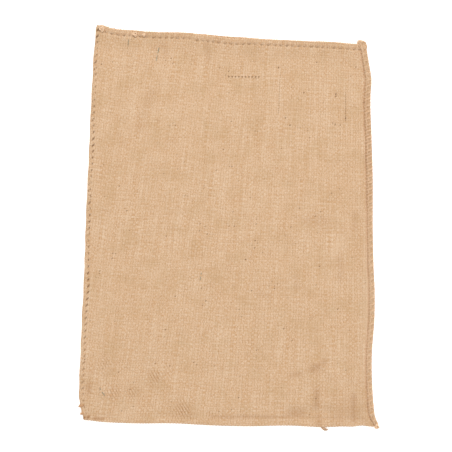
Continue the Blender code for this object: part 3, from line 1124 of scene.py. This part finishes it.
def finish_cloth(shape, sizes, sewing, points, ends, picks, gone, front, kinds):
    """Lays the weave's relief, the wrinkles and the sewing's dents on the smooth strip."""
    x, y = points[..., 0], points[..., 1]
    from_left = x - shape.left_edge(y)
    from_mouth = shape.front_mouth(x) - y
    from_fold = y - shape.fold(x)
    hollow = cloth_marks(x, y, ends, picks, front)
    stout = 1 + 0.35 * soft_noise(ends * 3, picks * 0.2, 1.0, 5)
    weave = sizes.warp_relief * np.cos(2 * math.pi * ends) * stout
    fine = sizes.weft_relief * np.cos(2 * math.pi * picks)
    fine += sizes.crossing_relief * np.cos(math.pi * ends) * np.cos(math.pi * picks)
    relief = weave + fine * front
    lift = np.zeros_like(x)
    for ax, ay, bx, by, reach, height in WRINKLES:
        lift += height * bump(off_line(x, y, ax, ay, bx, by), reach)
    lift += 0.22 * MM * soft_noise(x, y, 24 * MM, 6) + 0.10 * MM * soft_noise(x, y, 9 * MM, 7)
    stitch = (x + hem_drift(x)) / sewing.hem_pitch
    band = ease((6.9 * MM - from_mouth) / (1.2 * MM))
    lift += band * 0.30 * MM * np.cos(2 * math.pi * (stitch - 0.35 * from_mouth / sewing.hem_pitch))
    lift -= 0.60 * MM * bump(from_mouth - 6.4 * MM, 0.9 * MM) * (0.65 + 0.35 * np.cos(2 * math.pi * stitch))
    off = from_left - dash_inset(from_fold)
    slide = (from_fold - 0.9 * off) / sewing.seam_pitch
    dent = bump(off, 1.2 * MM) * bump(from_nearest(slide) * sewing.seam_pitch, 1.1 * MM)
    lift -= 0.75 * MM * dent
    relief = relief + lift * front - 0.7 * MM * hollow
    relief = np.where(gone, 0.0, relief)
    points = points + surface_normals(points) * relief[..., None]
    bends = np.isin(kinds, ("front mouth", "front hem"))
    scallop = 0.07 * MM * np.cos(2 * math.pi * (stitch - 0.1)) + 0.22 * MM * soft_noise(x, y, 7 * MM, 8)
    points[..., 1] += scallop * (bends | (front & (from_mouth < 3 * MM)))
    points[..., 2] = np.maximum(points[..., 2], 0.02 * MM)
    # Brown stains with painted shade in the troughs, the crease and the slit; pale marks, among them painted
    # light beside the right seam
    stain_and_shade = np.zeros_like(x)
    faded_and_lit = np.zeros_like(x)
    for ax, ay, bx, by, reach, strength in STAINS_AND_SHADE:
        mark = strength * bump(off_line(x, y, ax, ay, bx, by), reach)
        stain_and_shade = np.maximum(stain_and_shade, mark)
        faded_and_lit = np.maximum(faded_and_lit, -mark)
    drag = np.zeros_like(x)
    for ax, ay, reach, strength in DRAGS:
        drag = np.maximum(drag, strength * bump(np.hypot(x - ax, y - ay), reach))
    layers = {
        "yarns": np.stack([ends, picks, 0 * picks], axis=2),
        "edges": np.stack([off, from_mouth, from_fold], axis=2) / MM,
        "marks": np.stack([(x + hem_drift(x)) / MM, hollow, 0 * x], axis=2),
        "patches": np.stack([stain_and_shade * front, drag * front, faded_and_lit * front], axis=2),
    }
    return points, layers, gone


def dash_inset(from_fold):
    """How far in from the left edge the seam's stitches dip."""
    return np.interp(from_fold, *zip(*DASHES))


def surface_normals(points):
    """Outward directions over a sheet of points."""
    along = np.gradient(points, axis=0)
    across = np.gradient(points, axis=1)
    normal = np.cross(across, along)
    length = np.linalg.norm(normal, axis=2, keepdims=True)
    return np.where(length > 1e-12, normal / np.maximum(length, 1e-12), (0.0, 0.0, 1.0))


# --- The seams ---


KNOB = 10 * MM  # length of the thick end of the right seam


def roll_section(angle, width, height):
    """A rolled edge's cross-section: a round, flattened a little on top and below."""
    across = np.sign(np.cos(angle)) * np.abs(np.cos(angle)) ** 0.85
    over = np.sign(np.sin(angle)) * np.abs(np.sin(angle)) ** 0.80
    return across * width / 2, over * height / 2


def right_roll_at(shape, y):
    """The right roll's middle, width and height at each y."""
    inner, outer = shape.right_seam(y)
    foot = shape.right_box[0][1]
    mouth = shape.right_box[1][1]
    height = np.interp(y, (foot, foot + 0.012, 0.150, mouth), (3.4 * MM, 4.4 * MM, 4.6 * MM, 5.6 * MM))
    knob = ease((y - mouth + KNOB) / (0.4 * KNOB))
    flare = 1.7 * MM * ease((foot + 0.011 - y) / 0.009)
    width = (outer - inner) * (1 + 0.55 * knob) + flare + 0.4 * MM
    return (inner + outer) / 2 - 0.8 * MM * knob + flare / 2 - 0.2 * MM, width, height


def make_right_roll(shape, sewing):
    """The right seam's roll: a bead of cloth edge that the stitches pinch in slanting lines."""
    foot = shape.right_box[0][1] - 0.6 * MM
    mouth = shape.right_box[1][1] + 0.4 * MM
    rings = 800
    sides = 22
    y = np.linspace(foot, mouth, rings)
    middle, width, height = right_roll_at(shape, y)
    end = np.minimum(y - foot, mouth - y)
    girth = np.sqrt(np.clip(end / (2.4 * MM), 0.02, 1) * (2 - np.clip(end / (2.4 * MM), 0.02, 1)))
    turn = np.linspace(0, 2 * math.pi, sides + 1)
    across, over = roll_section(turn[None, :], (width * girth)[:, None], (height * girth)[:, None])
    share = across / (width[:, None])
    count = (y[:, None] - foot - sewing.slant * share) / sewing.seam_pitch
    pinch = bump(from_nearest(count) * sewing.seam_pitch, 1.15 * MM) * (over > -0.2 * height[:, None])
    swell = 1 - 0.13 * pinch + 0.05 * soft_noise(y[:, None] + 0 * share, turn[None, :] * 2.0 * MM, 3 * MM, 21)
    tilt = -0.22 * share * width[:, None] * ease((y[:, None] - mouth + 7 * MM) / (6 * MM))
    px = middle[:, None] + across * (1 - 0.06 * pinch)
    py = y[:, None] + tilt
    pz = height[:, None] / 2 + 0.1 * MM + over * swell
    points = np.stack([px, py, pz], axis=2)
    yarns = np.stack([turn[None, :] * 1.05 + 0 * py, py / PICK_PITCH, 0 * py], axis=2)
    tick = bump(from_nearest(2 * count - 0.5) * sewing.seam_pitch / 2, 0.8 * MM)
    tick = tick * (0.30 + 0.70 * ease((y[:, None] - 0.010) / 0.030) * ease((0.165 - y[:, None]) / 0.030))
    marks = np.stack([pinch, tick, 0 * pinch], axis=2)
    return points, {"yarns": yarns, "marks": marks}


def right_stitches(shape, sewing):
    """The twine's way up the right seam: over the roll on a slant, under it, then up along its groove."""
    foot = shape.right_box[0][1]
    mouth = shape.right_box[1][1]
    count = int((mouth - foot - 1 * MM) / sewing.seam_pitch)
    start_angle = math.radians(117)
    rng = np.random.default_rng(51)
    route = []
    for index in range(count):
        y0 = foot + 2.0 * MM + index * sewing.seam_pitch + rng.uniform(-0.5, 0.5) * MM
        for share in np.linspace(0, 1, 15):
            angle = start_angle - share * 2 * math.pi
            over_top = ease(share / 0.45)
            rise = sewing.slant * over_top - 1.0 * MM * ease((share - 0.5) / 0.5)
            route.append(right_point(shape, y0 + rise, angle))
        for share in (0.35, 0.7):
            rise = sewing.slant - MM + share * (sewing.seam_pitch - sewing.slant + MM)
            route.append(right_point(shape, y0 + rise, start_angle))
    return np.array(route)


def right_point(shape, y, angle):
    """A point just outside the right roll, where the twine presses into it."""
    middle, width, height = right_roll_at(shape, y)
    across, over = roll_section(np.array(angle), width - 0.3 * MM, height + 0.1 * MM)
    z = height / 2 + 0.1 * MM + over * 0.98
    sunk = 0.99 - 0.12 * max(math.cos(angle), 0)
    return middle + across * sunk, y, max(z, 0.45 * MM)


def make_left_roll(shape):
    """The left seam's roll, under the front's wrapped edge, which shows only at the back and the ends."""
    low, high = shape.left_box
    rings = 300
    sides = 16
    y = np.linspace(low[1] + 0.5 * MM, high[1] - 1.3 * MM, rings)
    edge = shape.left_edge(y)
    block = ease((y - high[1] + 6 * MM) / (2.5 * MM))
    height = (2.7 + 2.0 * block) * MM
    width = 3.6 * MM + 7.0 * MM * block
    turn = np.linspace(0, 2 * math.pi, sides + 1)
    end = np.clip(np.minimum(y - y[0], 4.0 * (y[-1] - y)) / (2.0 * MM), 0.02, 1)
    girth = np.sqrt(end * (2 - end))
    across, over = roll_section(turn[None, :], (width * girth)[:, None], (height * girth)[:, None])
    swell = 1 + 0.07 * soft_noise(y[:, None] + 0 * across, turn[None, :] * 2.0 * MM, 3 * MM, 22)
    px = edge[:, None] + 2.6 * MM + 3.3 * MM * block[:, None] + across * swell
    pz = height[:, None] / 2 + 0.15 * MM + over * swell
    points = np.stack([px, y[:, None] + 0 * px, pz], axis=2)
    yarns = np.stack([turn[None, :] * 0.9 + 0 * px, points[..., 1] / PICK_PITCH, 0 * px], axis=2)
    return points, {"yarns": yarns, "marks": 0 * yarns}


def left_stitches(shape, sewing):
    """The twine's way up the left seam: a short slanting stitch in each dent, and a run under the roll."""
    low, high = shape.left_box
    route = []
    fold = shape.fold(low[0] + 4 * MM)
    count = int((high[1] - fold - 6 * MM) / sewing.seam_pitch)
    for index in range(1, count):
        y = fold + index * sewing.seam_pitch
        if y < low[1] + 2 * MM:
            continue
        x = shape.left_edge(y) + dash_inset(y - fold)
        top = shape.top(x, y) - 1.6 * MM
        route += [
            (x - 0.9 * MM, y - 0.9 * MM, top - 0.9 * MM),
            (x, y, top - 0.35 * MM),
            (x + 0.9 * MM, y + 0.9 * MM, top - 0.8 * MM),
            (x + 1.0 * MM, y + 2.2 * MM, 1.6 * MM),
            (x - 0.2 * MM, y + 3.4 * MM, 0.7 * MM),
            (x - 1.2 * MM, y + 4.8 * MM, 1.4 * MM),
        ]
    return np.array(route)


def hem_route(shape, sizes, sewing, side):
    """The twine's way along one hem of the mouth: up over the hem on a slant and back inside it."""
    low, high = shape.cloth_box
    start = math.ceil((low[0] + 5 * MM) / sewing.hem_pitch)
    stop = math.floor((high[0] - 14 * MM) / sewing.hem_pitch)
    route = []
    for index in range(start, stop):
        x = index * sewing.hem_pitch
        x = x - hem_drift(x)
        if side == "front":
            mouth = shape.front_mouth(x)
            face = shape.top(x, mouth - 3 * MM) - sizes.inset
            inside = face - 2 * (MOUTH_REACH - sizes.inset) - 0.35 * MM
            outward = 1
        else:
            mouth = shape.back_mouth(x)
            face = 0.55 * MM
            inside = 2.35 * MM
            outward = -1
        middle = (face + inside) / 2
        route += [
            (x - 0.4 * MM, mouth - 6.0 * MM, face - outward * 0.35 * MM),
            (x + 0.5 * MM, mouth - 4.2 * MM, face + outward * 0.12 * MM),
            (x + 1.5 * MM, mouth - 1.7 * MM, face + outward * 0.14 * MM),
            (x + 2.3 * MM, mouth - 0.9 * MM, face - outward * 0.40 * MM),
            (x + 2.7 * MM, mouth - 0.55 * MM, middle),
            (x + 3.2 * MM, mouth - 1.0 * MM, inside),
            (x + 4.4 * MM, mouth - 3.2 * MM, inside),
            (x + 5.4 * MM, mouth - 5.0 * MM, inside + outward * 0.2 * MM),
        ]
    route = np.array(route)
    route[:, 2] = np.maximum(route[:, 2], 0.4 * MM)
    return route


def knot_route(x, y, z, across, turned):
    """An overhand knot seen from above."""
    turn = np.linspace(0.25, 2 * math.pi - 0.25, 34)
    scale = across / 5.2
    px = scale * (np.sin(turn) + 2 * np.sin(2 * turn))
    py = scale * (np.cos(turn) - 2 * np.cos(2 * turn))
    pz = -scale * 0.7 * np.sin(3 * turn)
    angle = math.radians(turned)
    return np.stack(
        [
            x + px * math.cos(angle) - py * math.sin(angle),
            y + px * math.sin(angle) + py * math.cos(angle),
            z + pz,
        ],
        axis=1,
    )


def add_hair(bm, rng, start, heading, length, radius, curl, floor, tone, points=6):
    """One fine fibre that leaves a point along a heading and wanders."""
    heading = np.asarray(heading, float)
    heading = heading / np.linalg.norm(heading)
    path = [np.asarray(start, float)]
    for _ in range(points - 1):
        heading = heading + rng.normal(0, curl, 3) * (1, 1, 0.5)
        heading = heading / np.linalg.norm(heading)
        step = path[-1] + heading * length / (points - 1)
        step[2] = max(step[2], floor(step[0], step[1]))
        path.append(step)
    girth = radius * np.linspace(1, 0.45, points)
    add_tube(bm, np.array(path), girth, 3, tone)


# --- Operators ---


TUFT_FIBRES = 70  # in the lock under the fold
STRAY_FIBRES = 260  # over the whole front


def finish_of(name, make):
    """A material by name, made on its first use."""
    return bpy.data.materials.get(name) or make(bpy.context.scene.sack_colours)


def settings_of(context):
    """The sack's shape and the sizes that its maker has set."""
    return sack_shape(), context.scene.sack_cloth, context.scene.sack_sewing


class SACK_OT_cloth(bpy.types.Operator):
    """Make the sack's cloth: one strip of hessian, hemmed, folded at the bottom and tucked into the seams"""

    bl_idname = "sack.make_cloth"
    bl_label = "Cloth"
    bl_options = {"REGISTER", "UNDO"}

    def execute(self, context):
        shape, sizes, sewing = settings_of(context)
        points, layers, gone = make_cloth(shape, sizes, sewing)
        bm = bmesh.new()
        made = add_sheet(bm, points, layers)
        lost = {vert for vert, is_gone in zip(made, gone.ravel()) if is_gone}
        spare = [face for face in bm.faces if lost.issuperset(face.verts)]
        bmesh.ops.delete(bm, geom=spare, context="FACES")
        lost = [vert for vert in made if vert.is_valid and vert in lost]
        bmesh.ops.remove_doubles(bm, verts=lost, dist=0.02 * MM)
        bmesh.ops.dissolve_degenerate(bm, edges=bm.edges, dist=0.001 * MM)
        bmesh.ops.delete(bm, geom=[edge for edge in bm.edges if edge.is_wire], context="EDGES")
        cloth = new_piece("hessian_length", bm, finish_of("Hessian", hessian))
        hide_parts("sack_cloth")
        return {"FINISHED"}


class SACK_OT_hem_stitches(bpy.types.Operator):
    """Sew the two hems of the mouth with slanting stitches over their edges"""

    bl_idname = "sack.sew_hems"
    bl_label = "Hem stitches"
    bl_options = {"REGISTER", "UNDO"}

    def execute(self, context):
        shape, sizes, sewing = settings_of(context)
        for side in ("front", "back"):
            bm = bmesh.new()
            route = hem_route(shape, sizes, sewing, side)
            add_twine(bm, route, sewing.twine * 0.8, sides=5)
            new_piece(f"{side}_hem_stitches", bm, finish_of("Jute sewing twine", sewing_twine))
        return {"FINISHED"}


class SACK_OT_right_seam(bpy.types.Operator):
    """Make the right seam: its rolled edge and the twine that binds it"""

    bl_idname = "sack.make_right_seam"
    bl_label = "Right seam"
    bl_options = {"REGISTER", "UNDO"}

    def execute(self, context):
        shape, _, sewing = settings_of(context)
        bm = bmesh.new()
        add_round(bm, *make_right_roll(shape, sewing))
        roll = new_piece("right_rolled_edge", bm, finish_of("Rolled hessian edge", rolled_edge))
        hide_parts("right_side_seam")
        bm = bmesh.new()
        add_twine(bm, right_stitches(shape, sewing), sewing.twine * 0.95, tone=0.3)
        new_piece("right_seam_stitches", bm, finish_of("Jute sewing twine", sewing_twine))
        return {"FINISHED"}


class SACK_OT_left_seam(bpy.types.Operator):
    """Make the left seam: the rolled edge under the cloth and the twine that shows in its dents"""

    bl_idname = "sack.make_left_seam"
    bl_label = "Left seam"
    bl_options = {"REGISTER", "UNDO"}

    def execute(self, context):
        shape, _, sewing = settings_of(context)
        bm = bmesh.new()
        add_round(bm, *make_left_roll(shape))
        roll = new_piece("left_rolled_edge", bm, finish_of("Rolled hessian edge", rolled_edge))
        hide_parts("left_side_seam")
        bm = bmesh.new()
        add_twine(bm, left_stitches(shape, sewing), sewing.twine * 0.7, sides=5, tone=0.8)
        new_piece("left_seam_stitches", bm, finish_of("Jute sewing twine", sewing_twine))
        return {"FINISHED"}


class SACK_OT_knots(bpy.types.Operator):
    """Tie the knots that start and end the sewing"""

    bl_idname = "sack.tie_knots"
    bl_label = "Knots"
    bl_options = {"REGISTER", "UNDO"}

    def execute(self, context):
        shape, _, sewing = settings_of(context)
        bm = bmesh.new()
        for x, y, across, turned in KNOTS:
            z = shape.top(x, y) + 0.5 * MM
            route = knot_route(x, y, z, across, turned)
            add_twine(bm, route, sewing.twine * 1.25, step=0.6 * MM, twist=3.2 * MM, tone=0.0)
        new_piece("twine_knots", bm, finish_of("Jute sewing twine", sewing_twine))
        return {"FINISHED"}


class SACK_OT_loose_ends(bpy.types.Operator):
    """Add the twine's cut ends and the lock of fibres under the fold"""

    bl_idname = "sack.add_loose_ends"
    bl_label = "Loose ends"
    bl_options = {"REGISTER", "UNDO"}

    def execute(self, context):
        sewing = context.scene.sack_sewing
        rng = np.random.default_rng(31)
        bm = bmesh.new()
        for points in TWINE_ENDS:
            add_twine(bm, np.array(points), sewing.twine * 2.5, step=0.5 * MM, taper=0.1, tone=0.78)
        new_piece("twine_ends", bm, finish_of("Jute sewing twine", sewing_twine))
        bm = bmesh.new()
        for _ in range(TUFT_FIBRES):
            path = resample(np.array(TUFT), 1.2 * MM)
            spread = np.linspace(0.45, 1.15, len(path))[:, None]
            side = rng.normal(0, 0.85 * MM, 3) * (0.7, 0.7, 0.35)
            wave = rng.normal(0, 0.12 * MM, path.shape) * (1, 1, 0.4)
            keep = rng.integers(len(path) - 3, len(path) + 1)
            path = (path + side * spread + np.cumsum(wave, axis=0))[:keep]
            path[:, 2] = np.maximum(path[:, 2], 0.15 * MM)
            add_tube(bm, path, rng.uniform(0.09, 0.17) * MM, 4, tone=rng.uniform(0.0, 0.35))
        new_piece("fibre_tuft", bm, finish_of("Loose jute fibre", loose_fibre))
        return {"FINISHED"}


class SACK_OT_stray_fibres(bpy.types.Operator):
    """Scatter the fine fibres that stand off the cloth, and the few coloured ones"""

    bl_idname = "sack.scatter_fibres"
    bl_label = "Stray fibres"
    bl_options = {"REGISTER", "UNDO"}

    def execute(self, context):
        shape, _, _ = settings_of(context)
        rng = np.random.default_rng(41)
        low, high = shape.cloth_box

        def ground(x, y):
            inside = low[0] < x < high[0] and low[1] < y < high[1]
            return shape.top(x, y) + 0.1 * MM if inside else 0.3 * MM

        bm = bmesh.new()
        for _ in range(STRAY_FIBRES):
            x = rng.uniform(low[0] + 0.006, high[0] - 0.012)
            y = rng.uniform(low[1] + 0.006, high[1] - 0.012)
            angle = rng.uniform(0, 2 * math.pi)
            heading = (math.cos(angle), math.sin(angle), 0.12)
            start = (x, y, ground(x, y))
            length = rng.uniform(3, 9) * MM
            tone = rng.uniform(0, 0.3)
            add_hair(bm, rng, start, heading, length, 0.06 * MM, 0.35, ground, tone)
        new_piece("stray_fibres", bm, finish_of("Loose jute fibre", loose_fibre))
        bm = bmesh.new()
        for ax, ay, bx, by in FLECKS:
            ends = np.array([(ax, ay), (bx, by)])
            places = ends[0] + (ends[1] - ends[0]) * np.linspace(0, 1, 7)[:, None]
            height = shape.top(places[:, 0], places[:, 1]) + 0.12 * MM * np.cos(np.arange(7) * 2.1)
            path = np.column_stack([places, height])
            girth = 0.30 * MM * np.sin(np.linspace(0.35, math.pi - 0.35, 7))
            add_tube(bm, path, girth, 5, tone=rng.uniform(0, 9))
        new_piece("dyed_fibres", bm, finish_of("Dyed fibre", dyed_fibre))
        return {"FINISHED"}


class SACK_OT_stage(bpy.types.Operator):
    """Set the floor, the lamp and the camera"""

    bl_idname = "sack.set_stage"
    bl_label = "Stage"
    bl_options = {"REGISTER", "UNDO"}

    def execute(self, context):
        scene = context.scene
        settings = scene.sack_stage
        bm = bmesh.new()
        bmesh.ops.create_grid(bm, x_segments=2, y_segments=2, size=4.0)
        bmesh.ops.translate(bm, verts=bm.verts, vec=(0, 0, -0.2 * MM))
        mesh = bpy.data.meshes.new("floor")
        bm.to_mesh(mesh)
        bm.free()
        floor = bpy.data.objects.new("floor", mesh)
        mesh.materials.append(floor_finish(scene.sack_colours))
        scene.collection.objects.link(floor)
        self.set_light(scene, settings)
        self.set_camera(scene, settings)
        return {"FINISHED"}

    def set_light(self, scene, settings):
        world = bpy.data.worlds.new("Studio")
        world.use_nodes = True
        world.node_tree.nodes["Background"].inputs["Color"].default_value = (1.0, 1.0, 1.0, 1.0)
        world.node_tree.nodes["Background"].inputs["Strength"].default_value = settings.fill
        scene.world = world
        lamp = bpy.data.lights.new("Key lamp", "AREA")
        lamp.energy = settings.key
        lamp.size = 1.6
        lamp.color = (1.0, 0.985, 0.965)
        key = bpy.data.objects.new("Key lamp", lamp)
        key.location = (0.3, 2.9, 3.1)
        key.rotation_euler = (-key.location).to_track_quat("-Z", "Y").to_euler()
        scene.collection.objects.link(key)
        scene.view_settings.view_transform = "Standard"

    def set_camera(self, scene, settings):
        camera = bpy.data.cameras.new("Camera")
        camera.lens = settings.lens
        camera.sensor_width = 36.0
        camera.clip_start = 0.05
        rig = bpy.data.objects.new("Camera", camera)
        distance = settings.width_seen / camera.sensor_width * settings.lens
        rig.location = (-7.60 * MM, 0.85 * MM, 4 * MM + distance)
        rig.rotation_euler = (0.0, 0.0, math.radians(1.6))
        scene.collection.objects.link(rig)
        scene.camera = rig


OPERATORS = (
    SACK_OT_stage,
    SACK_OT_cloth,
    SACK_OT_hem_stitches,
    SACK_OT_right_seam,
    SACK_OT_left_seam,
    SACK_OT_knots,
    SACK_OT_loose_ends,
    SACK_OT_stray_fibres,
)
SETTINGS = (
    ("sack_cloth", ClothSizes),
    ("sack_sewing", SewingSizes),
    ("sack_colours", Colours),
    ("sack_stage", StageSettings),
)


class SACK_PT_panel(bpy.types.Panel):
    """The jute sack's tools"""

    bl_idname = "SACK_PT_panel"
    bl_label = "Jute Sack"
    bl_space_type = "VIEW_3D"
    bl_region_type = "UI"
    bl_category = "Jute Sack"

    def draw(self, context):
        for operator in OPERATORS:
            self.layout.operator(operator.bl_idname)
        for name, group in SETTINGS:
            box = self.layout.box()
            for setting in group.__annotations__:
                box.prop(getattr(context.scene, name), setting)


def register():
    for group in (*(group for _, group in SETTINGS), *OPERATORS, SACK_PT_panel):
        bpy.utils.register_class(group)
    for name, group in SETTINGS:
        setattr(bpy.types.Scene, name, PointerProperty(type=group))


def unregister():
    for name, _ in SETTINGS:
        delattr(bpy.types.Scene, name)
    for group in (SACK_PT_panel, *reversed(OPERATORS), *(group for _, group in SETTINGS)):
        bpy.utils.unregister_class(group)


def main():
    register()
    for operator in OPERATORS:
        group, name = operator.bl_idname.split(".")
        getattr(getattr(bpy.ops, group), name)()


if __name__ == "__main__":
    main()
